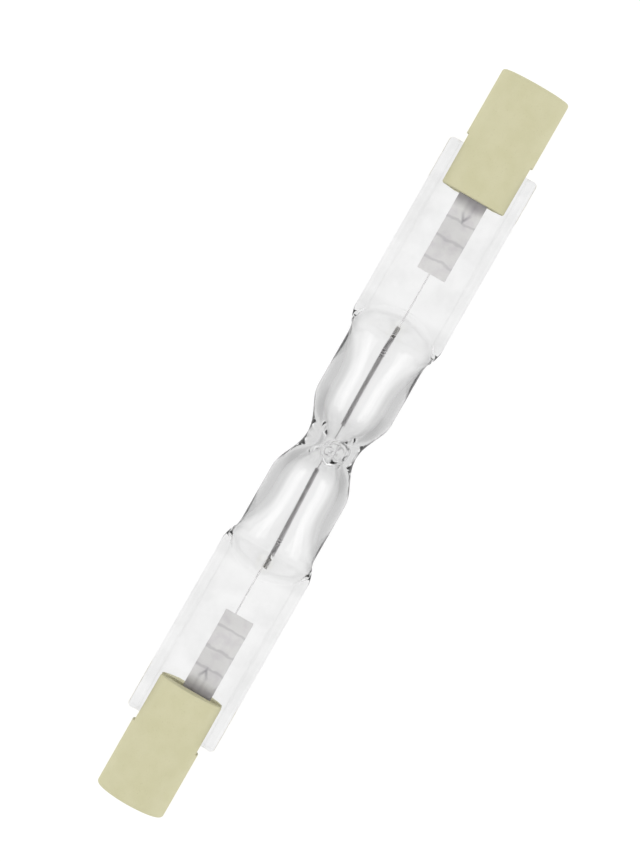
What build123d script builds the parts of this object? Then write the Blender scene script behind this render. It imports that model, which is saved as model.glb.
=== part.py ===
"""Double-ended linear halogen lamp with two chambers: a clear quartz tube with a necked waist.

The lamp lies along X, with its middle at the origin. +Z is up, on the side of the sealed
exhaust tip, and both press seals are flat in XY. It rests on its two round chambers.
Lengths are in millimetres, and each is measured from the lamp's middle unless it says otherwise.
"""
from build123d import *
import math
import os
from dataclasses import dataclass

# Lengths that the lampholder sets
CONTACT_SPAN = 74.9  # from the crown of one contact to the crown of the other
CONTACT_SINK = 1.6  # how far each crown lies inside its cap

# Quartz chambers
BULB_RADIUS = 4.0
BULB_WALL = 1.05
BULB_END = 10.5  # where the round tube starts to close
WAIST_RADIUS = 2.65
WAIST_FLAT_HALF = 0.15  # half the length of the waist's narrowest stretch
WAIST_RUN = 4.2  # length over which the waist opens out to the full bulb
NECK_BORE_RADIUS = 1.0
NECK_BORE_HALF = 0.9  # half the length of the narrow bore
CHAMBER_START = 3.9  # where the cavity is at its full width
CAVITY_SHOULDER = 11.1  # where the cavity's end dome starts
CAVITY_END = 14.3
DOME_LENGTH = 4.2  # length of the outer end dome, as far as its buried point
DOME_SPREAD = 0.2  # how much wider than the tube the dome gets as it is pressed
DOME_SECTIONS = (0, 16, 32, 47, 61, 72, 80)  # degrees round the dome's quarter ellipse

# Press seals
PRESS_GAP = 0.95  # from the seal's end to the floor of its cap's slot
PRESS_WIDTH = 9.4
WEB_THICKNESS = 2.1
WEB_START = 12.5
RAIL_WIDTH = 1.0
RAIL_HEIGHT = 2.7
RAIL_ROUND = 0.42
RAIL_START = 10.2
RAIL_RUN = 3.2  # length over which a rail swings out from the bulb's side
PRESS_CORNER = 0.45
FLUTE_MARGIN = 4.9  # from the last sharp ridge left by the press jaws to the seal's end
FLUTE_PITCH = 2.0
FLUTE_COUNT = 4
FLUTE_DEPTH = 0.08

# Sealed exhaust tip, a little off the middle
TIP_X = -0.4
TIP_Y = -0.5
TIP_RADIUS = 1.25
TIP_BORE_RADIUS = 0.45
TIP_BORE_ROUND = 0.3  # at the closed top of the bore
TIP_TOP = 4.3  # height above the lamp's axis
TIP_CLOSURE = 0.8  # glass above the bore
TIP_DIMPLE_RADIUS = 0.45
TIP_DIMPLE_FLAT = 0.15  # radius of the dimple's floor
TIP_DIMPLE_DEPTH = 0.2
TIP_ROUND = 0.5
TIP_ROOT_FILLET = 0.4

# Ceramic caps
CAP_RADIUS = 3.575
CAP_BARREL = 7.0  # length of the solid barrel, from the slot's floor to the rim
CHEEK_LENGTH = 5.2  # length of the two cheeks beside the press seal
CHEEK_DRAFT = 0.03  # how much the cheeks' radius shrinks towards their free end
SLOT_HEIGHT = 2.5
CAP_RIM_ROUND = 0.3
CHEEK_ROUND = 0.15
RECESS_RADIUS = 1.75
RECESS_CHAMFER = 0.25
CAP_BORE_RADIUS = 0.75

# Contacts and outer leads
HEAD_CLEARANCE = 0.1
HEAD_THICKNESS = 0.8
HEAD_RIM = 0.35  # height of the head's straight edge, below its crown
STEM_CLEARANCE = 0.05
STEM_LENGTH = 1.5
OUTER_LEAD_RADIUS = 0.35
OUTER_LEAD_POINT = 0.6  # length of the pointed end
RIGHT_LEAD_DEPTH = 6.6  # how deep the pointed end lies in its press seal
LEFT_LEAD_DEPTH = 6.3
RIGHT_LEAD_Y = -0.3
LEFT_LEAD_Y = -0.22

# Cement
CEMENT_LENGTH = 4.4  # from the slot's floor towards the bulb
CEMENT_HALF_WIDTH = 3.1

# Foils and inner leads
FOIL_WIDTH = 3.0
FOIL_LENGTH = 9.9
FOIL_THICKNESS = 0.04
FOIL_HEIGHT = 0.06  # of the foil's lower face, which the flats on both leads meet
RIGHT_FOIL_MARGIN = 2.5  # from the foil to the seal's end
LEFT_FOIL_MARGIN = 2.75
RIGHT_FOIL_Y = -0.13
LEFT_FOIL_Y = -0.5
FLAT_LENGTH = 1.4  # of the inner lead on the foil
INNER_LEAD_RADIUS = 0.075
INNER_LEAD_PLUG = 0.75  # length of inner lead inside the coil

# Filament
COIL_RADIUS = 0.235
COIL_BORE_RADIUS = 0.095
COIL_LENGTH = 10.45
RIGHT_COIL_START = 2.2
LEFT_COIL_START = 2.65
COIL_END_TURN = 0.12  # thickness of the closed turn at each coil's inner end
LINK_RADIUS = 0.05

PRECISION = 0.01  # overshoot that keeps a cutter's face off the face that it cuts
CUTTER_SPARE = 1.0  # what a wide cutter has beyond the piece that it cuts

CAP_END = CONTACT_SPAN / 2 + CONTACT_SINK
SLOT_FLOOR = CAP_END - CAP_BARREL
CHEEK_END = SLOT_FLOOR - CHEEK_LENGTH
RECESS_FLOOR = CONTACT_SPAN / 2 - HEAD_THICKNESS
STEM_END = RECESS_FLOOR - STEM_LENGTH
STEM_RADIUS = CAP_BORE_RADIUS - STEM_CLEARANCE
HEAD_RADIUS = RECESS_RADIUS - HEAD_CLEARANCE
CAVITY_RADIUS = BULB_RADIUS - BULB_WALL
PRESS_END = SLOT_FLOOR - PRESS_GAP
RAIL_Y = (PRESS_WIDTH - RAIL_WIDTH) / 2


@dataclass(frozen=True)
class LampEnd:
    """What differs from one hand-made end of the lamp to the other.

    Args:
        name: Side of the lamp, as seen with the exhaust tip up.
        sign: 1 for the end on +X, -1 for the end on -X.
        coil_start: Distance from the middle to the coil's inner end.
        foil_margin: Distance from the foil to the seal's end.
        foil_y: Sideways place of the foil.
        lead_depth: Distance from the outer lead's point to the seal's end.
        lead_y: Sideways place of the outer lead.
    """

    name: str
    sign: int
    coil_start: float
    foil_margin: float
    foil_y: float
    lead_depth: float
    lead_y: float

    @property
    def coil_end(self):
        """Distance from the middle to the coil's outer end."""
        return self.coil_start + COIL_LENGTH

    @property
    def foil_end(self):
        """Distance from the middle to the foil's outer end."""
        return PRESS_END - self.foil_margin

    @property
    def foil_start(self):
        """Distance from the middle to the foil's inner end."""
        return self.foil_end - FOIL_LENGTH

    @property
    def lead_start(self):
        """Distance from the middle to the outer lead's point."""
        return PRESS_END - self.lead_depth


ENDS = (
    LampEnd(
        "right", 1, RIGHT_COIL_START, RIGHT_FOIL_MARGIN, RIGHT_FOIL_Y, RIGHT_LEAD_DEPTH, RIGHT_LEAD_Y
    ),
    LampEnd("left", -1, LEFT_COIL_START, LEFT_FOIL_MARGIN, LEFT_FOIL_Y, LEFT_LEAD_DEPTH, LEFT_LEAD_Y),
)


def along_x(x, radius_y, radius_z):
    """Returns an elliptical section across the lamp at x."""
    plane = Plane(origin=(x, 0, 0), x_dir=(0, 1, 0), z_dir=(1, 0, 0))
    return plane * Ellipse(radius_y, radius_z)


def rod(start, end, radius, y=0.0, z=0.0):
    """Returns a round bar along X from start to end."""
    plane = Plane(origin=(start, y, z), x_dir=(0, 1, 0), z_dir=(1, 0, 0))
    return extrude(plane * Circle(radius), amount=end - start)


def taper(start, end, start_radius, end_radius):
    """Returns a round bar along X whose radius changes evenly from start to end."""
    bar = Cone(start_radius, end_radius, end - start)
    return Pos((start + end) / 2, 0, 0) * Rot(0, 90, 0) * bar


def block(start, end, half_y, low_z, high_z, y=0.0):
    """Returns a box along X from start to end, centred on y."""
    size = (end - start, 2 * half_y, high_z - low_z)
    return Pos((start + end) / 2, y, (low_z + high_z) / 2) * Box(*size)


def s_curve(start, end):
    """Returns two equal arcs that join two points with level tangents at both."""
    middle = ((start[0] + end[0]) / 2, (start[1] + end[1]) / 2)
    first = TangentArc(start, middle, tangent=(1, 0))
    second = TangentArc(middle, end, tangent=first % 1)
    return Curve() + [first, second]


def hourglass(neck_half, neck_radius, wide_start, wide_radius):
    """Returns the edges of a waisted outline: narrow for neck_half each way, wide at wide_start."""
    left = s_curve((-wide_start, wide_radius), (-neck_half, neck_radius))
    neck = Line((-neck_half, neck_radius), (neck_half, neck_radius))
    right = s_curve((neck_half, neck_radius), (wide_start, wide_radius))
    return [*left.edges(), neck, *right.edges()]


def bulb():
    """Returns the solid shape of the round tube and its waist, before the tube is hollow."""
    waist = hourglass(WAIST_FLAT_HALF, WAIST_RADIUS, WAIST_RUN, BULB_RADIUS)
    right = Polyline((WAIST_RUN, BULB_RADIUS), (BULB_END, BULB_RADIUS), (BULB_END, 0))
    left = Polyline((-WAIST_RUN, BULB_RADIUS), (-BULB_END, BULB_RADIUS), (-BULB_END, 0))
    axis = Line((-BULB_END, 0), (BULB_END, 0))
    return revolve(make_face(Curve() + [*waist, *right.edges(), *left.edges(), axis]), Axis.X)


def end_dome():
    """Returns the closed end of a chamber, which gets wider where the jaws flatten it."""
    sections = []
    for degrees in DOME_SECTIONS:
        angle = math.radians(degrees)
        width = BULB_RADIUS + DOME_SPREAD * (1 - math.cos(angle))
        height = BULB_RADIUS * math.cos(angle)
        sections.append(along_x(BULB_END + DOME_LENGTH * math.sin(angle), width, height))
    return loft(sections)


def cavity():
    """Returns the hollow of both chambers and the narrow neck between them."""
    waist = hourglass(NECK_BORE_HALF, NECK_BORE_RADIUS, CHAMBER_START, CAVITY_RADIUS)
    length = CAVITY_END - CAVITY_SHOULDER
    edges = [*waist, Line((-CAVITY_END, 0), (CAVITY_END, 0))]
    for side, start_angle in ((1, 0), (-1, 90)):
        shoulder = side * CAVITY_SHOULDER
        edges.append(Line((side * CHAMBER_START, CAVITY_RADIUS), (shoulder, CAVITY_RADIUS)))
        edges.append(
            EllipticalCenterArc((shoulder, 0), length, CAVITY_RADIUS, start_angle, arc_size=90)
        )
    return revolve(make_face(Curve() + edges), Axis.X)


def rail():
    """Returns the thick edge on the +Y side of a press seal."""
    start = (RAIL_START, BULB_RADIUS - RAIL_WIDTH / 2)
    straight = (RAIL_START + RAIL_RUN, RAIL_Y)
    path = s_curve(start, straight) + Line(straight, (PRESS_END, RAIL_Y))
    plane = Plane(origin=(*start, 0), x_dir=(0, 1, 0), z_dir=(1, 0, 0))
    section = plane * RectangleRounded(RAIL_WIDTH, RAIL_HEIGHT, RAIL_ROUND)
    return sweep(section, path=Wire(path.edges()))


def press_flutes():
    """Returns the cutters for the shallow hollows that the jaws leave across both faces."""
    radius = ((FLUTE_PITCH / 2) ** 2 + FLUTE_DEPTH**2) / (2 * FLUTE_DEPTH)
    width = PRESS_WIDTH - 2 * RAIL_WIDTH
    height = WEB_THICKNESS / 2 - FLUTE_DEPTH + radius
    cutters = []
    for index in range(FLUTE_COUNT):
        x = PRESS_END - FLUTE_MARGIN - (index + 0.5) * FLUTE_PITCH
        for side in (1, -1):
            cutters.append(Pos(x, 0, side * height) * Rot(90, 0, 0) * Cylinder(radius, width))
    return cutters


def press_seal():
    """Returns one press seal: a fluted web between two rails, with rounded corners."""
    one_rail = rail()
    web = block(WEB_START, PRESS_END, RAIL_Y, -WEB_THICKNESS / 2, WEB_THICKNESS / 2)
    seal = web + one_rail + mirror(one_rail, about=Plane.XZ)
    width = PRESS_WIDTH + 2 * PRECISION
    height = RAIL_HEIGHT + 2 * PRECISION
    plan = extrude(RectangleRounded(2 * PRESS_END, width, PRESS_CORNER), height, both=True)
    side = extrude(Plane.XZ * RectangleRounded(2 * PRESS_END, height, RAIL_ROUND), width, both=True)
    return (seal & plan & side) - press_flutes()


def exhaust_tip():
    """Returns the stub of the exhaust tube with its dimpled top, and the bore inside it."""
    dimple_z = TIP_TOP - TIP_DIMPLE_DEPTH
    dimple = Polyline((0, 0), (0, dimple_z), (TIP_DIMPLE_FLAT, dimple_z), (TIP_DIMPLE_RADIUS, TIP_TOP))
    shoulder = Line((TIP_DIMPLE_RADIUS, TIP_TOP), (TIP_RADIUS - TIP_ROUND, TIP_TOP))
    round_end = (TIP_RADIUS, TIP_TOP - TIP_ROUND)
    round_edge = TangentArc((TIP_RADIUS - TIP_ROUND, TIP_TOP), round_end, tangent=(1, 0))
    wall = Polyline(round_end, (TIP_RADIUS, 0), (0, 0))
    stub = revolve(Plane.XZ * make_face(Curve() + [dimple, shoulder, round_edge, wall]), Axis.Z)
    bore_top = dimple_z - TIP_CLOSURE
    bore = Pos(0, 0, bore_top / 2) * Cylinder(TIP_BORE_RADIUS, bore_top)
    bore = fillet(bore.edges().sort_by(Axis.Z)[-1], TIP_BORE_ROUND)
    return Pos(TIP_X, TIP_Y, 0) * stub, Pos(TIP_X, TIP_Y, 0) * bore


def quartz_envelope(buried):
    """Returns the whole glass as one piece, with a pocket round each piece sealed into it."""
    stub, bore = exhaust_tip()
    closed_end = end_dome() + press_seal()
    waisted = bulb() + stub
    root = [edge for edge in new_edges(bulb(), stub, combined=waisted) if edge.center().Z > 0]
    glass = fillet(root, TIP_ROOT_FILLET) + closed_end + mirror(closed_end, about=Plane.YZ)
    return glass - cavity() - bore - buried


def ceramic_cap():
    """Returns one cap: a barrel with a contact recess, and two cheeks with the seal's slot between."""
    body = rod(SLOT_FLOOR, CAP_END, CAP_RADIUS)
    body += taper(CHEEK_END, SLOT_FLOOR, CAP_RADIUS - CHEEK_DRAFT, CAP_RADIUS)
    body = fillet(body.edges().filter_by(GeomType.CIRCLE).sort_by(Axis.X)[-1], CAP_RIM_ROUND)
    body = fillet(body.edges().filter_by(GeomType.CIRCLE).sort_by(Axis.X)[0], CHEEK_ROUND)
    half_slot = SLOT_HEIGHT / 2
    body -= block(CHEEK_END - PRECISION, SLOT_FLOOR, CAP_RADIUS + CUTTER_SPARE, -half_slot, half_slot)
    body -= rod(RECESS_FLOOR, CAP_END + PRECISION, RECESS_RADIUS)
    body -= rod(SLOT_FLOOR - PRECISION, RECESS_FLOOR + PRECISION, CAP_BORE_RADIUS)
    mouth = body.edges().filter_by(GeomType.CIRCLE).filter_by(
        lambda edge: abs(edge.radius - RECESS_RADIUS) < PRECISION
    ).sort_by(Axis.X)[-1]
    return chamfer(mouth, RECESS_CHAMFER)


def contact():
    """Returns one contact: a domed head that sits in the recess, on a stem in the cap's bore."""
    crown_x = CONTACT_SPAN / 2
    rim_x = RECESS_FLOOR + HEAD_RIM
    stem = Polyline(
        (crown_x, 0), (STEM_END, 0), (STEM_END, STEM_RADIUS), (RECESS_FLOOR, STEM_RADIUS),
        (RECESS_FLOOR, HEAD_RADIUS), (rim_x, HEAD_RADIUS),
    )
    rise = crown_x - rim_x
    radius = (HEAD_RADIUS**2 + rise**2) / (2 * rise)
    slope = math.asin(HEAD_RADIUS / radius)
    arc_middle = (
        crown_x - radius * (1 - math.cos(slope / 2)), radius * math.sin(slope / 2)
    )
    crown = ThreePointArc((rim_x, HEAD_RADIUS), arc_middle, (crown_x, 0))
    return revolve(make_face(Curve() + [stem, crown]), Axis.X)


def above_foil(start, end, y):
    """Returns the cutter that makes the flat on a wire where the foil lies on it."""
    return block(start, end, CUTTER_SPARE, FOIL_HEIGHT, CUTTER_SPARE, y=y)


def outer_lead(end):
    """Returns the stiff wire from the contact's stem to its pointed, flattened end on the foil."""
    tip = end.lead_start
    wire = rod(tip, STEM_END, OUTER_LEAD_RADIUS, y=end.lead_y)
    point = Polyline(
        (tip, end.lead_y),
        (tip + OUTER_LEAD_POINT, end.lead_y + OUTER_LEAD_RADIUS),
        (STEM_END, end.lead_y + OUTER_LEAD_RADIUS),
        (STEM_END, end.lead_y - OUTER_LEAD_RADIUS),
        (tip + OUTER_LEAD_POINT, end.lead_y - OUTER_LEAD_RADIUS),
        close=True,
    )
    wire &= extrude(make_face(point), OUTER_LEAD_RADIUS, both=True)
    return wire - above_foil(tip - CUTTER_SPARE, end.foil_end, end.lead_y)


def foil(end):
    """Returns the thin ribbon that carries the current through the seal."""
    start = end.foil_start
    high = FOIL_HEIGHT + FOIL_THICKNESS
    return block(start, start + FOIL_LENGTH, FOIL_WIDTH / 2, FOIL_HEIGHT, high, y=end.foil_y)


def inner_lead(end):
    """Returns the fine wire from the foil into the bore of the coil."""
    start = end.coil_end - INNER_LEAD_PLUG
    wire = rod(start, end.foil_start + FLAT_LENGTH, INNER_LEAD_RADIUS)
    flat_end = end.foil_start + FLAT_LENGTH + CUTTER_SPARE
    return wire - above_foil(end.foil_start, flat_end, 0)


def cement(end, glass):
    """Returns the cement between a cap and the press seal in its slot."""
    fill = block(
        SLOT_FLOOR - CEMENT_LENGTH, SLOT_FLOOR, CEMENT_HALF_WIDTH, -SLOT_HEIGHT / 2, SLOT_HEIGHT / 2
    )
    return fill - glass - outer_lead(end) - foil(end)


def half_coil(end):
    """Returns one half of the filament, out to the end of its coil."""
    coil = rod(end.coil_start, end.coil_end, COIL_RADIUS)
    coil -= rod(end.coil_start + COIL_END_TURN, end.coil_end + PRECISION, COIL_BORE_RADIUS)
    return coil + rod(0, end.coil_start + PRECISION, LINK_RADIUS)


def placed(shape, end):
    """Returns a shape made for the +X end, on its own end of the lamp."""
    return shape if end.sign > 0 else mirror(shape, about=Plane.YZ)


def build_nodes():
    """Returns every piece of the lamp by name."""
    nodes = {}
    buried = []
    for end in ENDS:
        nodes[f"ceramic_cap_{end.name}"] = placed(ceramic_cap(), end)
        nodes[f"contact_{end.name}"] = placed(contact(), end)
        for label, shape in (
            ("outer_lead", outer_lead(end)), ("foil", foil(end)), ("inner_lead", inner_lead(end))
        ):
            nodes[f"{label}_{end.name}"] = placed(shape, end)
            buried.append(nodes[f"{label}_{end.name}"])
    glass = quartz_envelope(buried)
    nodes["quartz_envelope"] = glass
    for end in ENDS:
        nodes[f"cement_{end.name}"] = placed(cement(end, placed(glass, end)), end)
    right, left = (placed(half_coil(end), end) for end in ENDS)
    nodes["filament"] = right + left
    return nodes


os.makedirs("parts", exist_ok=True)
for node_name, node_shape in build_nodes().items():
    export_step(node_shape, f"parts/{node_name}.step")
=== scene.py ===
"""Dresses the linear halogen lamp for its portrait: clear quartz, cream ceramic and bright metal.

The classes keep their sizes in millimetres and write their meshes in metres, in the lamp's own
frame: X along the lamp, Z up on the side of the sealed exhaust tip, both press seals flat.
"""

import logging
import math
from collections.abc import Callable
from dataclasses import dataclass
from enum import Enum

import bmesh
import bpy
import numpy as np
from mathutils import Matrix, Vector


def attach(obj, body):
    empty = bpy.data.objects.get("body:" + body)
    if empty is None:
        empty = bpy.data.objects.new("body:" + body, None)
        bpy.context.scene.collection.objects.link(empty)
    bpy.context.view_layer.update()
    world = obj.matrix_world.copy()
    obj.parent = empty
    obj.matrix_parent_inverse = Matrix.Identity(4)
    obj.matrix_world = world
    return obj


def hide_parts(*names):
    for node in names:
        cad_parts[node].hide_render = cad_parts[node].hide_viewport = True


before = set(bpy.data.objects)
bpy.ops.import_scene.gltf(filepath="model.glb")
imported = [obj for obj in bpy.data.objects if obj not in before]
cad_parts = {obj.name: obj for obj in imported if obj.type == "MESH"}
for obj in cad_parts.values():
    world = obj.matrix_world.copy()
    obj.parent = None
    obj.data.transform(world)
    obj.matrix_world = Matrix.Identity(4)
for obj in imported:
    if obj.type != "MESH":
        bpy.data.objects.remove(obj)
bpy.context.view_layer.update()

Tree = bpy.types.NodeTree
Socket = bpy.types.NodeSocket
Material = bpy.types.Material
Object = bpy.types.Object
Array = np.ndarray
Field = Callable[[Array], Array]
Form = tuple[Array, list]

LOG = logging.getLogger("lamp")
MM = 0.001
TINY = 1e-9


class Side(Enum):
    """One end of the lamp, by the sign of its X."""

    RIGHT = 1
    LEFT = -1

    @property
    def label(self) -> str:
        """Returns the word that ends the names of this end's nodes."""
        return self.name.lower()


def linear(hex_colour: str) -> tuple[float, float, float, float]:
    """Turns an sRGB hex colour into linear RGBA.

    Args:
        hex_colour: Six hex digits after a hash.

    Returns:
        The linear colour with full alpha.
    """
    channels = []
    for start in (1, 3, 5):
        value = int(hex_colour[start:start + 2], 16) / 255
        channels.append(value / 12.92 if value <= 0.04045 else ((value + 0.055) / 1.055) ** 2.4)
    return (*channels, 1.0)


def add_node(tree: Tree, kind: str, inputs: dict | None = None, **settings) -> bpy.types.Node:
    """Adds one node with its settings, values and links.

    Args:
        tree: The node tree.
        kind: The node's type name.
        inputs: Socket name or number to a value, or to the output socket that feeds it.
        settings: Attributes of the node itself.

    Returns:
        The new node.
    """
    node = tree.nodes.new(kind)
    for name, value in settings.items():
        setattr(node, name, value)
    for socket, value in (inputs or {}).items():
        if isinstance(value, Socket):
            tree.links.new(value, node.inputs[socket])
        else:
            node.inputs[socket].default_value = value
    return node


def output(tree: Tree, kind: str, inputs: dict | None = None, **settings) -> Socket:
    """Adds one node as add_node does, and returns its first output."""
    return add_node(tree, kind, inputs, **settings).outputs[0]


def maths(tree: Tree, operation: str, *values: Socket | float) -> Socket:
    """Returns the result of one operation on up to three numbers."""
    return output(tree, "ShaderNodeMath", dict(enumerate(values)), operation=operation)


def mapped(
    tree: Tree, value: Socket, source: tuple[float, float] = (0.0, 1.0),
    target: tuple[float, float] = (0.0, 1.0), **settings,
) -> Socket:
    """Maps a value from one range to another, and holds it at their ends.

    Args:
        tree: The node tree.
        value: The value.
        source: Range of the value.
        target: Range of the result.
        settings: Attributes of the node itself.

    Returns:
        The result.
    """
    ends = {"From Min": source[0], "From Max": source[1], "To Min": target[0], "To Max": target[1]}
    return output(tree, "ShaderNodeMapRange", {"Value": value} | ends, **settings)


def noise(tree: Tree, place: Socket, size_mm: float, detail: float) -> Socket:
    """Returns noise from 0 to 1, with lumps of one size and finer layers of detail."""
    settings = {"Vector": place, "Scale": 1 / (size_mm * MM), "Detail": detail}
    return add_node(tree, "ShaderNodeTexNoise", settings).outputs["Fac"]


def blended(tree: Tree, share: Socket, below: Socket | str, above: str) -> Socket:
    """Lays one colour over another.

    Args:
        tree: The node tree.
        share: How much of the upper colour shows, from 0 to 1.
        below: The lower colour, as a socket or in hex.
        above: The upper colour in hex.

    Returns:
        The mixed colour.
    """
    below = linear(below) if isinstance(below, str) else below
    colours = {0: share, 6: below, 7: linear(above)}
    return add_node(tree, "ShaderNodeMix", colours, data_type="RGBA").outputs[2]


def chosen(tree: Tree, share: Socket, low: Socket | float, high: Socket | float) -> Socket:
    """Returns the number between low and high at a share of the way."""
    return output(tree, "ShaderNodeMix", {0: share, 2: low, 3: high})


def bumped(tree: Tree, height: Socket, depth_mm: float, strength: Socket | float) -> Socket:
    """Returns a normal tilted by a height from 0 to 1, where 1 is so many millimetres deep."""
    return output(tree, "ShaderNodeBump", {"Strength": strength, "Distance": depth_mm * MM, "Height": height})


def place_of(tree: Tree) -> Socket:
    """Returns where a point is on the object."""
    return add_node(tree, "ShaderNodeTexCoord").outputs["Object"]


def axes_of(tree: Tree, place: Socket) -> dict[str, Socket]:
    """Returns the coordinates of a place by the name of each axis."""
    return add_node(tree, "ShaderNodeSeparateXYZ", {0: place}).outputs


def new_material(name: str) -> tuple[Material, Tree]:
    """Makes an empty node material.

    Args:
        name: The material's name.

    Returns:
        The material and its node tree.
    """
    material = bpy.data.materials.new(name)
    material.use_nodes = True
    material.node_tree.nodes.clear()
    return material, material.node_tree


def shade(tree: Tree, surface: Socket) -> None:
    """Links a shader to the material's output."""
    add_node(tree, "ShaderNodeOutputMaterial", {"Surface": surface})


def coat(tree: Tree, colour: Socket, roughness: Socket | float, normal: Socket, **more: float) -> None:
    """Gives a material its one surface.

    Args:
        tree: The material's node tree.
        colour: Its colour.
        roughness: Its roughness.
        normal: Its bumped normal.
        more: Further values, by the names of their sockets with underscores for spaces.
    """
    inputs = {"Base Color": colour, "Roughness": roughness, "Normal": normal}
    inputs |= {name.replace("_", " "): value for name, value in more.items()}
    shade(tree, output(tree, "ShaderNodeBsdfPrincipled", inputs))


def new_piece(name: str, points: Array, faces: list, material: Material) -> Object:
    """Makes a smooth mesh object at the origin.

    Args:
        name: The piece's name.
        points: Vertex positions in millimetres, one row each.
        faces: Vertex numbers of each face.
        material: The finish.

    Returns:
        The object, linked to the scene.
    """
    mesh = bpy.data.meshes.new(name)
    mesh.from_pydata((np.asarray(points) * MM).tolist(), [], faces)
    mesh.materials.append(material)
    mesh.polygons.foreach_set("use_smooth", [True] * len(mesh.polygons))
    piece = bpy.data.objects.new(name, mesh)
    bpy.context.scene.collection.objects.link(piece)
    return piece


def ring_faces(rings: int, around: int, shut: bool = False) -> list[tuple[int, ...]]:
    """Returns the faces that join rings of equal point counts, each to the next.

    Args:
        rings: Number of rings.
        around: Points in each ring.
        shut: Whether the first and the last ring are filled.
    """
    faces = []
    for ring in range(rings - 1):
        for step in range(around):
            after = (step + 1) % around
            low, high = ring * around, (ring + 1) * around
            faces.append((low + step, low + after, high + after, high + step))
    if shut:
        last = (rings - 1) * around
        faces.append(tuple(reversed(range(around))))
        faces.append(tuple(range(last, last + around)))
    return faces


def smoothstep(values: Array, low: float, high: float) -> Array:
    """Rises smoothly from 0 at low to 1 at high."""
    share = np.clip((values - low) / (high - low), 0.0, 1.0)
    return share * share * (3 - 2 * share)


def s_curve(values: Array, start: tuple, end: tuple) -> Array:
    """Follows two equal arcs with level tangents from start to end, and is flat beyond them.

    Args:
        values: Places along the curve.
        start: First point, as place and height.
        end: Last point, as place and height.

    Returns:
        The heights.
    """
    run, rise = end[0] - start[0], end[1] - start[1]
    radius = (run**2 + rise**2) / (4 * abs(rise))
    along = np.clip(values - start[0], 0.0, run)
    first = radius - np.sqrt(radius**2 - np.minimum(along, run / 2) ** 2)
    second = radius - np.sqrt(radius**2 - np.minimum(run - along, run / 2) ** 2)
    climbed = np.where(along <= run / 2, first, abs(rise) - second)
    return start[1] + math.copysign(1, rise) * climbed


def smooth_union(one: Array, other: Array | float, blend: float) -> Array:
    """Joins two distance fields with a soft fillet.

    Args:
        one: Distances to the first shape, negative inside.
        other: Distances to the second shape.
        blend: Width of the fillet.

    Returns:
        Distances to the joined shape.
    """
    share = np.clip(0.5 + 0.5 * (other - one) / blend, 0.0, 1.0)
    return other + (one - other) * share - blend * share * (1 - share)


def smooth_meet(one: Array, other: Array | float, blend: float) -> Array:
    """Keeps what two distance fields share, with the ridge between them rounded over a width."""
    return -smooth_union(-one, -other, blend)


def last_inside(field: Field, low: Array, high: Array, halvings: int) -> Array:
    """Finds where lines leave a shape, by halving the stretch in question again and again.

    Args:
        field: Takes one place on each line, and returns how far outside the shape each is.
        low: A place on each line that is inside.
        high: A place on each line that is outside.
        halvings: How often the stretch is halved.

    Returns:
        The last place inside on each line.
    """
    for _ in range(halvings):
        middle = (low + high) / 2
        inside = field(middle) < 0
        low, high = np.where(inside, middle, low), np.where(inside, high, middle)
    return low


def mirrored(half: Array) -> Array:
    """Returns the rings of the whole lamp, in order along X, from those of its right half."""
    return np.concatenate([half[:0:-1] * np.array([-1.0, 1.0, 1.0]), half])


@dataclass(frozen=True)
class FusedQuartz:
    """Clear fused quartz: bright glassy edges, with faint ripples and haze where jaws pressed it."""

    ior: float = 1.458
    ripple_mm: float = 1.6
    ripple_detail: float = 1.5
    ripple_height_mm: float = 0.06
    press_start_mm: float = 13.5
    press_run_mm: float = 3.0
    blown_share: float = 0.08
    haze_mm: float = 2.6
    haze_detail: float = 4.0
    haze_range: tuple[float, float] = (0.42, 0.62)
    clear_colour: str = "#ffffff"
    haze_colour: str = "#f6f6f6"

    def build(self) -> Material:
        """Returns the material."""
        material, tree = new_material("fused_quartz_clear")
        place = place_of(tree)
        along = maths(tree, "ABSOLUTE", axes_of(tree, place)["X"])
        run = (self.press_start_mm * MM, (self.press_start_mm + self.press_run_mm) * MM)
        pressed = mapped(tree, along, run, (self.blown_share, 1.0))
        ripples = noise(tree, place, self.ripple_mm, self.ripple_detail)
        haze = mapped(tree, noise(tree, place, self.haze_mm, self.haze_detail), self.haze_range)
        share = maths(tree, "MULTIPLY", haze, pressed)
        coat(
            tree, blended(tree, share, self.clear_colour, self.haze_colour), 0.0,
            bumped(tree, ripples, self.ripple_height_mm, pressed), IOR=self.ior, Transmission_Weight=1.0,
        )
        return material


@dataclass(frozen=True)
class Steatite:
    """Pressed and fired steatite, unglazed: matt cream with a fine dry grain and faint mottling."""

    colour: str = "#d9d5b0"
    shade_colour: str = "#d5d1aa"
    speck_colour: str = "#c2bb93"
    roughness: float = 0.78
    ior: float = 1.55
    mottle_mm: float = 1.8
    mottle_detail: float = 4.0
    mottle_range: tuple[float, float] = (0.35, 0.65)
    grain_mm: float = 0.12
    grain_detail: float = 2.0
    grain_height_mm: float = 0.02
    grain_strength: float = 0.35
    speck_range: tuple[float, float] = (0.62, 0.75)
    speck_share: float = 0.5

    def build(self) -> Material:
        """Returns the material."""
        material, tree = new_material("steatite_unglazed")
        place = place_of(tree)
        mottle = mapped(tree, noise(tree, place, self.mottle_mm, self.mottle_detail), self.mottle_range)
        grain = noise(tree, place, self.grain_mm, self.grain_detail)
        specks = mapped(tree, grain, self.speck_range, (0.0, self.speck_share))
        body = blended(tree, mottle, self.shade_colour, self.colour)
        coat(
            tree, blended(tree, specks, body, self.speck_colour), self.roughness,
            bumped(tree, grain, self.grain_height_mm, self.grain_strength), IOR=self.ior,
        )
        return material


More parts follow.
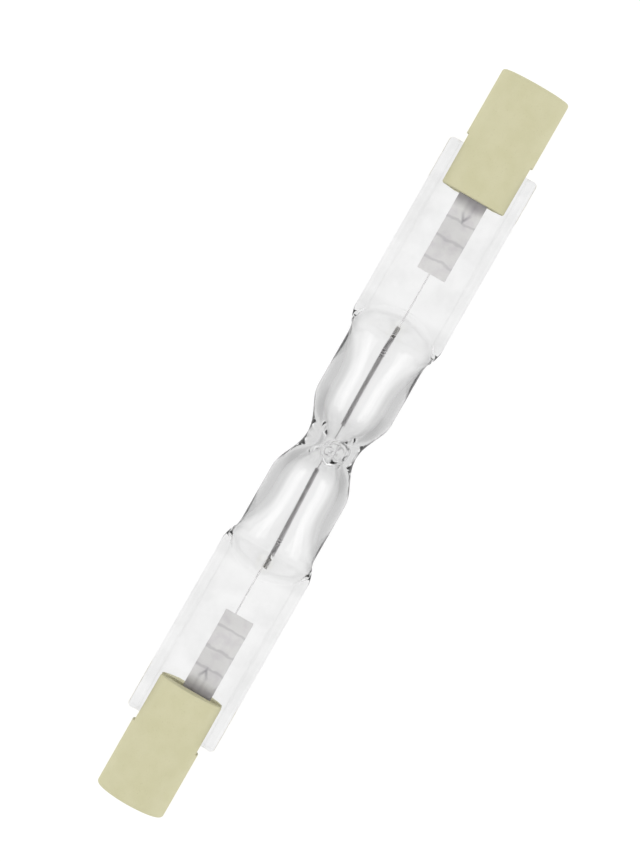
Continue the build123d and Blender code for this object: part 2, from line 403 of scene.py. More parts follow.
@dataclass(frozen=True)
class RoughCement:
    """Refractory cement, smeared and dried: chalky pale grey with a coarse crumb."""

    colour: str = "#cfcabb"
    dark_colour: str = "#b3ad9c"
    roughness: float = 0.92
    crumb_mm: float = 0.25
    crumb_detail: float = 5.0
    crumb_height_mm: float = 0.06
    crumb_strength: float = 0.6

    def build(self) -> Material:
        """Returns the material."""
        material, tree = new_material("refractory_cement")
        crumb = noise(tree, place_of(tree), self.crumb_mm, self.crumb_detail)
        coat(
            tree, blended(tree, crumb, self.dark_colour, self.colour), self.roughness,
            bumped(tree, crumb, self.crumb_height_mm, self.crumb_strength),
        )
        return material


@dataclass(frozen=True)
class LampMetal:
    """A bare metal of the lamp, with fine marks drawn along X or rolled across it.

    Painted shade along its creases, the oxide of the hot end and the painted shade of the V over a lead's
    point lie at distances from the lamp's middle. A foil has them, and a wire doesn't.

    Args:
        roughness_spread: How much smoother and rougher its marks are.
        mark_length: How many times longer than wide a mark is.
        detail: How many finer layers its marks and stains have.
        stain_range: Range of the noise over which a stain fades in.
        wander_mm: How unevenly creases and oxide run.
        crease_fade: How many times wider a crease's painted shade is where it has faded.
        burnt_mm: Where the oxide starts, 0 for none.
        point_mm: Where the point is, from the middle and across.
        point_half_mm: Half the width of that lead.
        point_taper: How fast it gets to that width.
        point_edge_mm: Width over which the point's painted shade fades to each side.
        point_fade_mm: Length over which it fades behind the point.
        point_tail: The share of it that is left there.
    """

    name: str
    colour: str
    dull_colour: str
    roughness: float
    roughness_spread: tuple[float, float] = (0.06, 0.1)
    mark_mm: float = 0.05
    mark_length: float = 12.0
    mark_height_mm: float = 0.004
    mark_strength: float = 0.5
    detail: float = 3.0
    stain_mm: float = 1.2
    stain_range: tuple[float, float] = (0.45, 0.75)
    wander_mm: float = 0.7
    # Creases: painted shade, darker lines in the colour rather than folds in the mesh.
    creases_mm: tuple[float, ...] = ()
    crease_half_mm: float = 0.07
    crease_fade: float = 2.5
    crease_colour: str = "#bcbabc"
    crease_strength: float = 0.55
    burnt_mm: float = 0.0
    burnt_run_mm: float = 0.9
    burnt_colour: str = "#8b8690"
    burnt_strength: float = 0.6
    # A lead's point: painted shade, a dark V in the colour where the foil bulges over it.
    point_mm: tuple[float, float] | None = None
    point_half_mm: float = 0.35
    point_taper: float = 0.55
    point_colour: str = "#7d7982"
    point_edge_mm: float = 0.26
    point_fade_mm: float = 0.9
    point_strength: float = 0.75
    point_tail: float = 0.25

    def build(self) -> Material:
        """Returns the material."""
        material, tree = new_material(self.name)
        place = place_of(tree)
        axes = axes_of(tree, place)
        stretch = {"Vector": place, "Scale": (1 / self.mark_length, 1, 1)}
        marks = noise(tree, output(tree, "ShaderNodeMapping", stretch), self.mark_mm, self.detail)
        stain = noise(tree, place, self.stain_mm, self.detail)
        colour = blended(tree, mapped(tree, stain, self.stain_range), self.colour, self.dull_colour)
        along = maths(tree, "ABSOLUTE", axes["X"])
        colour = self.creased(tree, along, stain, colour)
        # Painted shade: a dark V where the foil bulges over the pointed end of a lead.
        if self.point_mm:
            colour = blended(tree, self.point_outline(tree, along, axes["Y"]), colour, self.point_colour)
        smoother, rougher = self.roughness_spread
        rough = mapped(tree, marks, target=(self.roughness - smoother, self.roughness + rougher))
        coat(tree, colour, rough, bumped(tree, marks, self.mark_height_mm, self.mark_strength), Metallic=1.0)
        return material

    def creased(self, tree: Tree, along: Socket, stain: Socket, colour: Socket) -> Socket:
        """Adds the painted shade of the creases across a foil, and the oxide of its hot end.

        Args:
            tree: The material's node tree.
            along: How far a point is from the lamp's middle.
            stain: Uneven value from 0 to 1 that breaks up the edges.
            colour: Colour of the metal without them.

        Returns:
            Colour with them.
        """
        wander = maths(tree, "MULTIPLY_ADD", stain, self.wander_mm * MM, along)
        # Painted shade: each crease is a darker line in the colour, not a fold in the mesh.
        for crease in self.creases_mm:
            past = maths(tree, "SUBTRACT", wander, (crease + self.wander_mm / 2) * MM)
            half = self.crease_half_mm * MM
            run = (half, self.crease_fade * half)
            share = mapped(tree, maths(tree, "ABSOLUTE", past), run, (self.crease_strength, 0.0))
            colour = blended(tree, share, colour, self.crease_colour)
        if self.burnt_mm:
            past = maths(tree, "SUBTRACT", wander, (self.burnt_mm + self.wander_mm / 2) * MM)
            share = mapped(tree, past, (0.0, self.burnt_run_mm * MM), (0.0, self.burnt_strength))
            colour = blended(tree, share, colour, self.burnt_colour)
        return colour

    def point_outline(self, tree: Tree, along: Socket, across: Socket) -> Socket:
        """Paints the shade of the V that a foil shows where it was pressed over the point of a lead.

        Args:
            tree: The material's node tree.
            along: How far a point is from the lamp's middle.
            across: How far to one side it is.

        Returns:
            How strong the painted shade is there, from 0 to 1.
        """
        end, middle = self.point_mm
        beyond = maths(tree, "SUBTRACT", along, end * MM)
        widening = maths(tree, "MULTIPLY", beyond, self.point_taper)
        reach = maths(tree, "MINIMUM", widening, self.point_half_mm * MM)
        aside = maths(tree, "ABSOLUTE", maths(tree, "SUBTRACT", across, middle * MM))
        near = maths(tree, "ABSOLUTE", maths(tree, "SUBTRACT", aside, reach))
        outline = mapped(tree, near, (0.0, self.point_edge_mm * MM), (self.point_strength, 0.0))
        fade = mapped(tree, beyond, (0.0, self.point_fade_mm * MM), (1.0, self.point_tail))
        return maths(tree, "MULTIPLY", outline, fade)


NICKEL = LampMetal("pressed_nickel_contact", "#c9c4ba", "#a39c8f", 0.32)
MOLYBDENUM_WIRE = LampMetal("drawn_molybdenum_wire", "#8f8d90", "#77717a", 0.35)
# The foil's creases and the V over its lead's point are painted shade; its burnt end is oxide.
MOLYBDENUM_FOIL = LampMetal(
    "rolled_molybdenum_foil", "#e2e1e0", "#d6d3d5", 0.3, mark_length=0.1,
    creases_mm=(20.1, 22.4, 24.4), burnt_mm=25.5, point_mm=(24.6, -0.26),
)
TUNGSTEN = LampMetal("coiled_tungsten_wire", "#b4b2b3", "#8f8c8e", 0.38)
LEAD_WIRE = LampMetal("bright_drawn_tungsten_wire", "#e1e0e0", "#cfcdce", 0.3)


@dataclass(frozen=True)
class QuartzEnvelope:
    """The blown and pressed quartz: two chambers, a necked waist, two press seals and a sealed tip.

    In its methods x is the distance from the lamp's middle and never negative, y the distance
    sideways and z the height, as arrays of one shape. The distances that its forms return are
    negative inside them.
    """

    bulb_radius: float = 4.0
    bulb_end: float = 10.5
    waist_radius: float = 2.65
    waist_run: float = 4.5
    waist_foot_power: float = 2.0
    waist_top_power: float = 2.2
    neck_bore_radius: float = 0.95
    neck_bore_half: float = 0.6
    neck_edge: float = 0.25
    funnel_degrees: float = 35.0
    funnel_round: float = 1.0
    chamber_start: float = 4.4
    cavity_radius: float = 2.95
    arc_place: float = 14.6
    arc_sag: float = 1.6
    arc_limit: float = 1.2
    ramp_degrees: float = 46.0
    ramp_foot: float = 0.8
    ramp_ridge: float = 1.0
    cavity_ridge: float = 0.4
    cavity_spread_run: tuple[float, float] = (6.2, 13.2)
    least_height: float = 0.02
    flare_start: float = 10.0
    flare_end: float = 13.3
    cavity_spread: float = 4.1
    dome_spread: float = 4.66
    press_width: float = 9.39
    press_end: float = 31.1
    web_thickness: float = 2.1
    web_start: float = 12.0
    rail_width: float = 1.0
    rail_height: float = 2.7
    rail_round: float = 0.42
    rail_start: float = 11.3
    rail_start_height: float = 0.9
    end_round: float = 0.42
    flute_margin: float = 4.9
    flute_pitch: float = 2.0
    flute_count: int = 4
    flute_depth: float = 0.08
    dome_blend: float = 0.3
    rail_blend: float = 0.35
    flat_start: float = 10.0
    flat_end: float = 14.6
    ray_inset: float = 0.35
    ray_length: float = 7.0
    around: int = 128
    cavity_around: int = 96
    neck_step: float = 0.1
    chamber_step: float = 0.5
    closing_rings: int = 60

    @property
    def rail_y(self) -> float:
        """Returns how far a rail's middle lies from the lamp's axis."""
        return (self.press_width - self.rail_width) / 2

    def bulb_section(self, x: Array) -> Array:
        """Returns the outer radius of the round tube and waist at each distance from the middle."""
        share = np.clip(x / self.waist_run, 0, 1)
        soft = 1 - (1 - share**self.waist_foot_power) ** self.waist_top_power
        return self.waist_radius + (self.bulb_radius - self.waist_radius) * soft

    def cavity_section(self, x: Array) -> Array:
        """Returns the radius of the neck, its funnel and the chamber at each distance from the middle."""
        slope = math.tan(math.radians(self.funnel_degrees))
        cone = self.neck_bore_radius + slope * (x - self.neck_bore_half)
        opened = smooth_meet(cone, self.neck_bore_radius, self.neck_edge)
        return smooth_union(opened, self.cavity_radius, self.funnel_round)

    def flare(self, x: Array, narrow: float, wide: float) -> Array:
        """Returns a half-width that grows from narrow to wide where the jaws spread the hot tube."""
        return s_curve(x, (self.flare_start, narrow), (self.flare_end, wide))

    def arc(self, y: Array) -> Array:
        """Returns where the jaws' curved edge left the tube flat, at each sideways distance."""
        return self.arc_place - self.arc_sag * np.minimum(np.abs(y) / self.bulb_radius, self.arc_limit) ** 2

    def ramp(self, x: Array, y: Array, z: Array, height: float) -> Array:
        """Returns the distance above the ramps that close a chamber, which run out at a height at its arc."""
        slope = math.radians(self.ramp_degrees)
        back = np.maximum(self.arc(y) - x, 0)
        climb = math.tan(slope) * back**2 / (back + self.ramp_foot)
        return (np.abs(z) - height - climb) * math.cos(slope)

    def dome(self, x: Array, y: Array, z: Array) -> Array:
        """Returns the distance from the round tube and its squeezed end."""
        spread = self.flare(x, self.bulb_radius, self.dome_spread) / self.bulb_radius
        tube = np.hypot(y / spread, z) - self.bulb_section(x)
        return smooth_meet(tube, self.ramp(x, y, z, self.web_thickness / 2), self.ramp_ridge)

    def room(self, x: Array, y: Array, z: Array) -> Array:
        """Returns the distance from the chamber and the neck."""
        start, end = self.cavity_spread_run
        wide = s_curve(x, (start, self.cavity_radius), (end, self.cavity_spread))
        spread = wide / self.cavity_radius
        tube = np.hypot(y / spread, z) - self.cavity_section(x)
        return smooth_meet(tube, self.ramp(x, y, z, 0.0), self.cavity_ridge)

    def web(self, x: Array, y: Array, z: Array) -> Array:
        """Returns the distance from the flat of the press seal, with the hollows of the jaws."""
        half = self.web_thickness / 2 - self.flutes(x)
        return np.maximum(np.maximum(np.abs(z) - half, np.abs(y) - self.rail_y), self.web_start - x)

    def flutes(self, x: Array) -> Array:
        """Returns the depth of the jaws' shallow hollows at each distance from the middle."""
        last = self.press_end - self.flute_margin
        first = last - self.flute_count * self.flute_pitch
        share = (x - first) / self.flute_pitch
        hollow = self.flute_depth * (1 - (2 * (share - np.floor(share)) - 1) ** 2)
        return np.where((x > first) & (x < last), hollow, 0.0)

    def rails(self, x: Array, y: Array, z: Array) -> Array:
        """Returns the distance from the two thick edges of the press seal."""
        middle = self.flare(x, self.bulb_radius - self.rail_width / 2, self.rail_y)
        grown = smoothstep(x, self.rail_start, self.flare_end)
        height = self.rail_start_height + (self.rail_height - self.rail_start_height) * grown
        out_y = np.abs(np.abs(y) - middle) - self.rail_width / 2 + self.rail_round
        out_z = np.abs(z) - height / 2 + self.rail_round
        outside = np.hypot(np.maximum(out_y, 0), np.maximum(out_z, 0))
        box = outside + np.minimum(np.maximum(out_y, out_z), 0) - self.rail_round
        return np.maximum(box, self.rail_start - x)

    def outside(self, x: Array, y: Array, z: Array) -> Array:
        """Returns the distance from the glass as it would be without its chambers."""
        press = smooth_union(self.web(x, y, z), self.rails(x, y, z), self.rail_blend)
        whole = smooth_union(self.dome(x, y, z), press, self.dome_blend)
        bend = self.end_round
        past = x - (self.press_end - bend)
        inset = np.where(past > 0, bend - np.sqrt(np.maximum(bend**2 - past**2, 0)), 0.0)
        return np.maximum(whole, np.abs(y) - self.press_width / 2) + inset

    def room_end(self) -> float:
        """Returns how far from the middle a chamber reaches, along the lamp's axis."""
        zero = np.zeros(1)
        low, high = np.full(1, self.bulb_end - 1), np.full(1, self.press_end)
        return float(last_inside(lambda x: self.room(x, zero, zero), low, high, 40)[0])

    def reach(self, field: Field, shape: tuple) -> Array:
        """Returns how far each ray of an array of this shape runs inside a form."""
        return last_inside(field, np.zeros(shape), np.full(shape, self.ray_length), 30)

    def stations(self) -> Array:
        """Returns the distances from the middle at which the skin has a ring, closest where it turns."""
        edge = self.press_end - self.end_round
        # Start, end and spacing of each stretch of rings.
        stretches = (
            (0.0, self.waist_run + 0.6, 0.12),
            (self.waist_run + 0.8, 9.6, 0.4),
            (9.8, 16.0, 0.09),
            (16.2, 18.0, 0.4),
            (18.1, 26.4, 0.14),
            (26.8, edge - 0.2, 0.5),
        )
        turn = self.end_round * np.sin(np.linspace(0, math.pi / 2, 9))
        return np.concatenate([*(np.arange(*stretch) for stretch in stretches), edge + turn])

    def section_rays(self, x: Array) -> tuple[Array, Array, Array]:
        """Returns where each ring's rays start sideways, and their directions in Y and Z.

        In the round tube every ray starts on the axis. In the flat seal those of the top and
        bottom start along a line and run straight up or down.

        Args:
            x: Distances of the rings from the middle.
        """
        turn = (np.arange(self.around) + 0.5) / self.around * 2 * math.pi
        quarter = math.pi / 4
        side = np.abs(np.cos(turn)) >= math.cos(quarter)
        folded = np.arctan2(np.abs(np.sin(turn)), np.abs(np.cos(turn)))
        reach = np.where(side, 1.0, 1 - (folded - quarter) / quarter)
        flat_angle = np.where(side, 2 * folded, math.pi / 2)
        flat = smoothstep(x, self.flat_start, self.flat_end)[:, None]
        angle = folded[None, :] * (1 - flat) + flat_angle[None, :] * flat
        sign_y, sign_z = np.sign(np.cos(turn))[None, :], np.sign(np.sin(turn))[None, :]
        start = sign_y * reach[None, :] * flat * (self.rail_y - self.ray_inset)
        return start, sign_y * np.cos(angle), sign_z * np.sin(angle)

    def skin(self) -> Form:
        """Returns the points and faces of the outer skin, shut at both ends."""
        x = self.stations()
        start, way_y, way_z = self.section_rays(x)
        place = np.broadcast_to(x[:, None], way_y.shape)
        far = self.reach(lambda far: self.outside(place, start + far * way_y, far * way_z), way_y.shape)
        rings = mirrored(np.stack([place, start + far * way_y, far * way_z], axis=-1))
        return rings.reshape(-1, 3), ring_faces(len(rings), self.around, shut=True)

    def hollow(self) -> Form:
        """Returns the points and faces of both chambers and the neck between them, facing the glass."""
        end = self.room_end()
        tail = self.bulb_end - self.chamber_step
        closing = tail + (end - tail) * np.sin(np.linspace(0, math.pi / 2, self.closing_rings))
        neck = np.arange(0, self.chamber_start, self.neck_step)
        x = np.concatenate([neck, np.arange(self.chamber_start, tail, self.chamber_step), closing[:-1]])
        turn = np.arange(self.cavity_around) / self.cavity_around * 2 * math.pi
        nothing = np.zeros(x.shape)
        width = self.reach(lambda far: self.room(x, far, nothing), x.shape)
        y = width[:, None] * np.cos(turn)[None, :]
        place = np.broadcast_to(x[:, None], y.shape)
        height = self.reach(lambda far: self.room(place, y, far), y.shape)
        height = np.maximum(height, self.least_height * np.abs(np.sin(turn))[None, :])
        height[:, np.abs(np.sin(turn)) < TINY] = 0.0
        rings = mirrored(np.stack([place, y, height * np.sign(np.sin(turn))[None, :]], axis=-1))
        points = rings.reshape(-1, 3)
        faces = ring_faces(len(rings), self.cavity_around)
        poles = np.array([[-end, 0, 0], [end, 0, 0]])
        count, last = len(points), len(points) - self.cavity_around
        for step in range(self.cavity_around):
            after = (step + 1) % self.cavity_around
            faces.append((count, after, step))
            faces.append((count + 1, last + step, last + after))
        return np.concatenate([points, poles]), faces


@dataclass(frozen=True)
class ExhaustTip:
    """The melted stub of the exhaust tube, a little off the waist's middle."""

    x: float = -0.4
    y: float = -0.5
    radius: float = 1.25
    bore_radius: float = 0.45
    bore_round: float = 0.3
    top: float = 4.3
    closure: float = 0.8
    dimple_radius: float = 0.45
    dimple_depth: float = 0.2
    dimple_lip: float = 0.14
    edge_round: float = 0.5
    foot: float = 1.2
    foot_height: float = 2.1
    foot_flare: float = 0.9
    foot_power: float = 2.5
    lumps: tuple[tuple[int, float, float], ...] = ((2, 0.05, 0.6), (3, 0.045, 2.1), (5, 0.03, 4.0))
    around: int = 64

    def lathe(self, profile: list[tuple[float, float]], lumpy: bool = False) -> Form:
        """Turns a profile about the stub's own axis, shut at both ends.

        Args:
            profile: Radius and height of each ring, from the bottom up.
            lumpy: Whether the rings are uneven, as melted glass is.

        Returns:
            Points and faces, facing out.
        """
        turn = np.arange(self.around) / self.around * 2 * math.pi
        uneven = np.ones(self.around)
        for count, share, phase in self.lumps if lumpy else ():
            uneven += share * np.cos(count * turn + phase)
        rings = []
        for radius, height in profile:
            rings.append(np.stack([
                self.x + radius * uneven * np.cos(turn),
                self.y + radius * uneven * np.sin(turn),
                np.full(self.around, height),
            ], axis=-1))
        return np.concatenate(rings), ring_faces(len(rings), self.around, shut=True)

    @staticmethod
    def shoulder(radius: float, top: float, rounding: float, angles: Array) -> list[tuple[float, float]]:
        """Returns the radii and heights of a rounded top edge, at angles from 0 to a quarter turn."""
        return [(radius - rounding * (1 - math.cos(a)), top - rounding * (1 - math.sin(a))) for a in angles]

    def stub(self) -> Form:
        """Returns the solid stub, with a flared foot, a rounded shoulder and a dimple."""
        profile = []
        for step in np.linspace(0, 1, 12):
            flare = self.foot_flare * (1 - step) ** self.foot_power
            profile.append((self.radius + flare, self.foot + self.foot_height * step))
        profile += self.shoulder(self.radius, self.top, self.edge_round, np.linspace(0, math.pi / 2, 10))
        for share in np.linspace(0.1, 1, 9):
            sunk = self.dimple_depth * math.sin(share * math.pi / 2) ** 2
            profile.append((self.dimple_radius * (1 - share) + self.dimple_lip, self.top - sunk))
        return self.lathe(profile, lumpy=True)

    def bore(self) -> Form:
        """Returns the bore's shape, from the neck up to its rounded top."""
        top = self.top - self.dimple_depth - self.closure
        profile = [(self.bore_radius, height) for height in np.linspace(0.0, top - self.bore_round, 8)]
        angles = np.linspace(0.15, math.pi / 2, 8)
        return self.lathe(profile + self.shoulder(self.bore_radius, top, self.bore_round, angles))


def apply_modifier(piece: Object, modifier: bpy.types.Modifier) -> None:
    """Replaces a piece's mesh by what its modifier makes of it.

    Args:
        piece: The piece.
        modifier: Its one modifier, which is removed.
    """
    graph = bpy.context.evaluated_depsgraph_get()
    changed = bpy.data.meshes.new_from_object(piece.evaluated_get(graph))
    piece.modifiers.remove(modifier)
    old, piece.data = piece.data, changed
    bpy.data.meshes.remove(old)
    changed.name = piece.name


def cut_or_join(piece: Object, tool: Object, operation: str) -> None:
    """Applies an exact boolean to a piece, and deletes the tool.

    Args:
        piece: The mesh that changes.
        tool: The mesh that cuts it or joins it.
        operation: UNION or DIFFERENCE.
    """
    modifier = piece.modifiers.new("boolean", "BOOLEAN")
    modifier.operation = operation
    modifier.object = tool
    modifier.solver = "EXACT"
    apply_modifier(piece, modifier)
    bpy.data.objects.remove(tool)


@dataclass(frozen=True)
class GlassWork:
    """Makes the dressed envelope out of the quartz's skin, its chambers and its sealed tip."""

    envelope: QuartzEnvelope = QuartzEnvelope()
    tip: ExhaustTip = ExhaustTip()

    def build(self, material: Material) -> Object:
        """Returns the envelope as one closed mesh that stands for its CAD node."""
        glass = new_piece("quartz_glass", *self.envelope.skin(), material)
        stub = new_piece("stub_tool", *self.tip.stub(), material)
        cut_or_join(glass, stub, "UNION")
        hollow = new_piece("hollow_tool", *self.envelope.hollow(), material)
        bore = new_piece("bore_tool", *self.tip.bore(), material)
        cut_or_join(hollow, bore, "UNION")
        cut_or_join(glass, hollow, "DIFFERENCE")
        glass.data.polygons.foreach_set("use_smooth", [True] * len(glass.data.polygons))
        form = bmesh.new()
        form.from_mesh(glass.data)
        open_edges = sum(not edge.is_manifold for edge in form.edges)
        LOG.info("glass volume %.1f mm3, %d open edges", form.calc_volume(signed=True) / MM**3, open_edges)
        form.free()
        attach(glass, "root")
        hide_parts("quartz_envelope")
        return glass


@dataclass(frozen=True)
class Filament:
    """The coiled wire: a coil in each chamber and a straight link through the neck."""

    coil_radius: float = 0.235
    wire_radius: float = 0.055
    pitch: float = 0.15
    coil_length: float = 10.45
    right_start: float = 2.2
    left_start: float = 2.65
    right_sway: tuple[float, float, float] = (0.05, 0.2, 0.03)
    left_sway: tuple[float, float, float] = (0.08, -0.12, -0.24)
    turn_points: int = 20
    wire_sides: int = 8
    link_sides: int = 12

    @staticmethod
    def new_group(name: str, numbers: dict[str, float]) -> tuple[Tree, dict[str, Socket]]:
        """Makes a node group that takes numbers and a material, and gives geometry.

        Args:
            name: The group's name.
            numbers: Name of each number, to its usual value.

        Returns:
            The group's tree and what it is given.
        """
        tree = bpy.data.node_groups.new(name, "GeometryNodeTree")
        face = tree.interface
        for label, value in numbers.items():
            face.new_socket(label, in_out="INPUT", socket_type="NodeSocketFloat").default_value = value
        face.new_socket("Material", in_out="INPUT", socket_type="NodeSocketMaterial")
        face.new_socket("Geometry", in_out="OUTPUT", socket_type="NodeSocketGeometry")
        return tree, add_node(tree, "NodeGroupInput").outputs

    @staticmethod
    def sweep(tree: Tree, curve: Socket, radius: Socket, sides: int) -> Socket:
        """Returns a round wire that follows a curve, shut at both ends.

        Args:
            tree: The tree.
            curve: The curve.
            radius: The wire's radius.
            sides: How many sides the round wire has.
        """
        circle = output(tree, "GeometryNodeCurvePrimitiveCircle", {"Resolution": sides, "Radius": radius})
        inputs = {"Curve": curve, "Profile Curve": circle, "Fill Caps": True}
        return output(tree, "GeometryNodeCurveToMesh", inputs)

    @staticmethod
    def finish(tree: Tree, geometry: Socket, material: Socket) -> None:
        """Ends a tree with real geometry, smooth faces and its material.

        Args:
            tree: The tree.
            geometry: What it has made.
            material: The material that it is given.
        """
        smooth = output(tree, "GeometryNodeSetShadeSmooth", {"Geometry": geometry})
        real = output(tree, "GeometryNodeRealizeInstances", {"Geometry": smooth})
        dressed = output(tree, "GeometryNodeSetMaterial", {"Geometry": real, "Material": material})
        add_node(tree, "NodeGroupOutput", {0: dressed})

    def coil_group(self) -> Tree:
        """Returns the node group that winds one coil along X, swaying a little to the side."""
        tree, given = self.new_group("wound_coil", {
            "Start": 0.0, "Length": self.coil_length, "Mean Radius": self.coil_radius - self.wire_radius,
            "Wire Radius": self.wire_radius, "Pitch": self.pitch,
            "Inner Aside": 0.0, "Middle Aside": 0.0, "Outer Aside": 0.0,
        })
        start, length, radius = given["Start"], given["Length"], given["Mean Radius"]
        spiral = output(tree, "GeometryNodeCurveSpiral", {
            "Resolution": self.turn_points, "Rotations": maths(tree, "DIVIDE", length, given["Pitch"]),
            "Start Radius": radius, "End Radius": radius, "Height": length,
        })
        lying = (0.0, math.pi / 2, 0.0)
        laid = output(tree, "GeometryNodeTransform", {"Geometry": spiral, "Rotation": lying})
        offset = output(tree, "ShaderNodeCombineXYZ", {"X": start})
        moved = output(tree, "GeometryNodeTransform", {"Geometry": laid, "Translation": offset})
        place = output(tree, "GeometryNodeInputPosition")
        x = add_node(tree, "ShaderNodeSeparateXYZ", {0: place}).outputs["X"]
        share = maths(tree, "DIVIDE", maths(tree, "SUBTRACT", x, start), length)
        inner = chosen(tree, share, given["Inner Aside"], given["Middle Aside"])
        outer = chosen(tree, share, given["Middle Aside"], given["Outer Aside"])
        shift = output(tree, "ShaderNodeCombineXYZ", {"Y": chosen(tree, share, inner, outer)})
        swayed = output(tree, "GeometryNodeSetPosition", {"Geometry": moved, "Offset": shift})
        wire = self.sweep(tree, swayed, given["Wire Radius"], self.wire_sides)
        self.finish(tree, wire, given["Material"])
        return tree

    def tree(self) -> Tree:
        """Returns the tree of the whole filament, which ends in metres."""
        coil = self.coil_group()
        tree, given = self.new_group("filament_wire", {
            "Right Start": self.right_start, "Left Start": self.left_start, "Coil Length": self.coil_length,
            "Wire Radius": self.wire_radius, "Pitch": self.pitch,
        })
        left_end = maths(tree, "ADD", given["Left Start"], given["Coil Length"])
        runs = (
            (given["Right Start"], self.right_sway),
            (maths(tree, "MULTIPLY", left_end, -1.0), self.left_sway[::-1]),
        )
        joined = add_node(tree, "GeometryNodeJoinGeometry")
        for start, (near, middle, far) in runs:
            inputs = {name: given[name] for name in ("Wire Radius", "Pitch", "Material")}
            inputs |= {"Start": start, "Length": given["Coil Length"]}
            inputs |= {"Inner Aside": near, "Middle Aside": middle, "Outer Aside": far}
            wound = output(tree, "GeometryNodeGroup", inputs, node_tree=coil)
            tree.links.new(wound, joined.inputs[0])
        minus = maths(tree, "MULTIPLY", given["Left Start"], -1.0)
        line = output(tree, "GeometryNodeCurvePrimitiveLine", {
            "Start": output(tree, "ShaderNodeCombineXYZ", {"X": minus, "Y": self.left_sway[0]}),
            "End": output(tree, "ShaderNodeCombineXYZ", {"X": given["Right Start"], "Y": self.right_sway[0]}),
        })
        link = self.sweep(tree, line, given["Wire Radius"], self.link_sides)
        tree.links.new(link, joined.inputs[0])
        scaled = output(tree, "GeometryNodeTransform", {"Geometry": joined.outputs[0], "Scale": (MM, MM, MM)})
        self.finish(tree, scaled, given["Material"])
        return tree

    def build(self, material: Material) -> Object:
        """Returns the wound wire as a plain mesh that stands for its CAD node."""
        piece = new_piece("filament_wire", np.empty((0, 3)), [], material)
        modifier = piece.modifiers.new("wire", "NODES")
        modifier.node_group = self.tree()
        modifier[modifier.node_group.interface.items_tree["Material"].identifier] = material
        apply_modifier(piece, modifier)
        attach(piece, "root")
        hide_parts("filament")
        return piece


@dataclass(frozen=True)
class LampEnd:
    """The pieces at one end: cap, contact, cement, leads and foil, which keep their CAD shapes."""

    side: Side

    def dress(self, finishes: dict[str, Material]) -> list[str]:
        """Gives each CAD node of this end its finish.

        Args:
            finishes: Node's name without its side, to its material.

        Returns:
            The names of the dressed nodes.
        """
        names = []
        for label, material in finishes.items():
            name = f"{label}_{self.side.label}"
            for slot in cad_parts[name].material_slots:
                slot.link = "OBJECT"
                slot.material = material
            names.append(name)
        return names


@dataclass(frozen=True)
class Fade:
    """A smooth change of the painted shade on the floor with the distance from the middle along one axis."""

    axis: str
    run_mm: tuple[float, float]
    values: tuple[float, float]

    def value(self, tree: Tree, axes: dict[str, Socket]) -> Socket:
        """Returns its value at a point that is given by its coordinates."""
        start, end = self.run_mm
        away = maths(tree, "ABSOLUTE", axes[self.axis])
        return mapped(tree, away, (start * MM, end * MM), self.values, interpolation_type="SMOOTHSTEP")


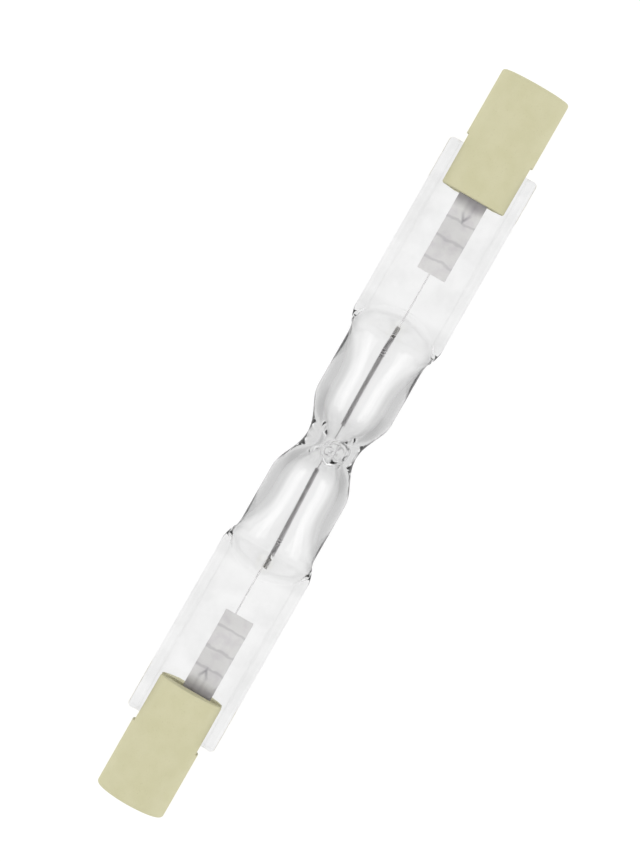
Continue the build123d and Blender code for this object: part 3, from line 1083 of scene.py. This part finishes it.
@dataclass(frozen=True)
class Studio:
    """A pale floor, two long soft boxes and a camera above the lamp."""

    floor_z: float = -4.0
    floor_half: float = 1500.0
    camera_distance: float = 320.0
    tilt_degrees: float = 2.85
    lean_degrees: float = 29.706
    lens_mm: float = 140.6
    sensor_mm: float = 36.0
    picture_height_px: float = 862.0
    off_right_px: float = 11.75
    off_down_px: float = 14.25
    box_length: float = 460.0
    box_width: float = 150.0
    box_distance: float = 330.0
    box_degrees: float = 46.0
    box_radiance: float = 0.95
    floor_albedo: float = 0.3
    floor_glow: float = 0.8
    floor_glow_in_gloss: float = 0.45
    floor_glow_in_glass: float = 0.93
    # Painted shade on the floor as seen through the glass: set by place in the floor's glow, not cast by the
    # lamp.
    floor_shade_in_glass: float = 0.7
    shade_edges: tuple[Fade, ...] = (
        Fade("Y", (2.5, 3.7), (0.0, 1.0)),
        Fade("Y", (14.0, 24.0), (1.0, 0.0)),
        Fade("X", (12.2, 13.8), (1.0, 0.12)),
    )
    # More painted shade: darker at the waist, under the bulbs and beside the press's edges.
    soft_shades: tuple[Fade, ...] = (
        Fade("X", (1.5, 4.5), (0.8, 1.0)),
        Fade("X", (13.9, 14.9), (0.92, 1.0)),
        Fade("Y", (4.45, 4.9), (1.0, 0.93)),
    )
    open_light: float = 0.5
    open_light_on_matt: float = 0.74
    open_light_in_glass: float = 1.0

    def camera(self) -> None:
        """Makes the camera, which looks down on the lamp with its right end up and to the right."""
        tilt, lean = math.radians(self.tilt_degrees), math.radians(self.lean_degrees)
        back = Vector((math.sin(tilt), 0, math.cos(tilt)))
        up = Vector((math.cos(lean), math.sin(lean), 0))
        up = (up - up.dot(back) * back).normalized()
        right = up.cross(back)
        data = bpy.data.cameras.new("camera")
        data.lens = self.lens_mm
        data.sensor_width = self.sensor_mm
        data.clip_start = 0.01
        data.clip_end = 20.0
        data.shift_x = -self.off_right_px / self.picture_height_px
        data.shift_y = self.off_down_px / self.picture_height_px
        camera = bpy.data.objects.new("camera", data)
        turn = Matrix((right, up, back)).transposed().to_4x4()
        camera.matrix_world = Matrix.Translation(back * self.camera_distance * MM) @ turn
        bpy.context.scene.collection.objects.link(camera)
        bpy.context.scene.camera = camera

    def floor(self) -> None:
        """Makes the floor: white to the eye, only a little darker where the lamp shades it, and with painted
        shade where it is seen through the glass.
        """
        material, tree = new_material("pale_floor")
        path = add_node(tree, "ShaderNodeLightPath").outputs
        matt = output(tree, "ShaderNodeBsdfDiffuse", {"Color": (*(self.floor_albedo,) * 3, 1.0)})
        level = chosen(tree, path["Is Glossy Ray"], self.floor_glow, self.floor_glow_in_gloss)
        glow = output(tree, "ShaderNodeEmission", {"Strength": level})
        lit = output(tree, "ShaderNodeAddShader", {0: matt, 1: glow})
        # Through the glass the floor shows painted shade, not its own lit shading.
        under = output(tree, "ShaderNodeEmission", {"Strength": self.under_glass(tree)})
        seen = {0: path["Is Transmission Ray"], 1: lit, 2: under}
        shade(tree, output(tree, "ShaderNodeMixShader", seen))
        corners = self.floor_half * np.array([(-1, -1), (1, -1), (1, 1), (-1, 1)])
        points = np.column_stack([corners, np.full(4, self.floor_z)])
        floor = new_piece("floor", points, [(0, 1, 2, 3)], material)

    def under_glass(self, tree: Tree) -> Socket:
        """Returns the floor's brightness through the glass, with painted shade in bands beside the tube, at
        the waist, under the bulbs and beside the press's edges.
        """
        axes = axes_of(tree, place_of(tree))
        shaded = 1.0
        for edge in self.shade_edges:
            shaded = maths(tree, "MULTIPLY", shaded, edge.value(tree, axes))
        level = mapped(tree, shaded, target=(self.floor_glow_in_glass, self.floor_shade_in_glass))
        for soft in self.soft_shades:
            level = maths(tree, "MULTIPLY", level, soft.value(tree, axes))
        return level

    def soft_boxes(self) -> None:
        """Makes the two soft boxes, one along each side of the lamp."""
        area = self.box_length * self.box_width * MM**2
        for sign in (1, -1):
            angle = math.radians(self.box_degrees)
            back = Vector((0, sign * math.sin(angle), math.cos(angle)))
            data = bpy.data.lights.new(f"soft_box_{sign}", "AREA")
            data.shape = "RECTANGLE"
            data.size = self.box_length * MM
            data.size_y = self.box_width * MM
            data.energy = self.box_radiance * math.pi * area
            box = bpy.data.objects.new(data.name, data)
            along = Vector((1, 0, 0))
            turn = Matrix((along, back.cross(along), back)).transposed().to_4x4()
            box.matrix_world = Matrix.Translation(back * self.box_distance * MM) @ turn
            bpy.context.scene.collection.objects.link(box)

    def world(self) -> None:
        """Makes the surroundings: white to the camera and through the glass, dim elsewhere."""
        world = bpy.data.worlds.new("studio")
        world.use_nodes = True
        tree = world.node_tree
        tree.nodes.clear()
        path = add_node(tree, "ShaderNodeLightPath").outputs
        lit = chosen(tree, path["Is Diffuse Ray"], self.open_light, self.open_light_on_matt)
        lit = chosen(tree, path["Is Transmission Ray"], lit, self.open_light_in_glass)
        seen = maths(tree, "MAXIMUM", lit, path["Is Camera Ray"])
        glow = output(tree, "ShaderNodeBackground", {"Color": (1.0, 1.0, 1.0, 1.0), "Strength": seen})
        add_node(tree, "ShaderNodeOutputWorld", {"Surface": glow})
        bpy.context.scene.world = world

    def build(self) -> None:
        """Makes the whole studio."""
        bpy.context.scene.view_settings.view_transform = "Standard"
        self.floor()
        self.soft_boxes()
        self.world()
        self.camera()


def main() -> None:
    """Builds the lamp's dressed pieces in order, then the studio."""
    logging.basicConfig(level=logging.INFO)
    glass = GlassWork().build(FusedQuartz().build())
    LOG.info("%s: %d faces", glass.name, len(glass.data.polygons))
    filament = Filament().build(TUNGSTEN.build())
    LOG.info("%s: %d faces", filament.name, len(filament.data.polygons))
    finishes = {
        "ceramic_cap": Steatite().build(),
        "cement": RoughCement().build(),
        "contact": NICKEL.build(),
        "outer_lead": MOLYBDENUM_WIRE.build(),
        "foil": MOLYBDENUM_FOIL.build(),
        "inner_lead": LEAD_WIRE.build(),
    }
    for side in Side:
        for name in LampEnd(side).dress(finishes):
            LOG.info("%s: dressed", name)
    Studio().build()


if __name__ == "__main__":
    main()
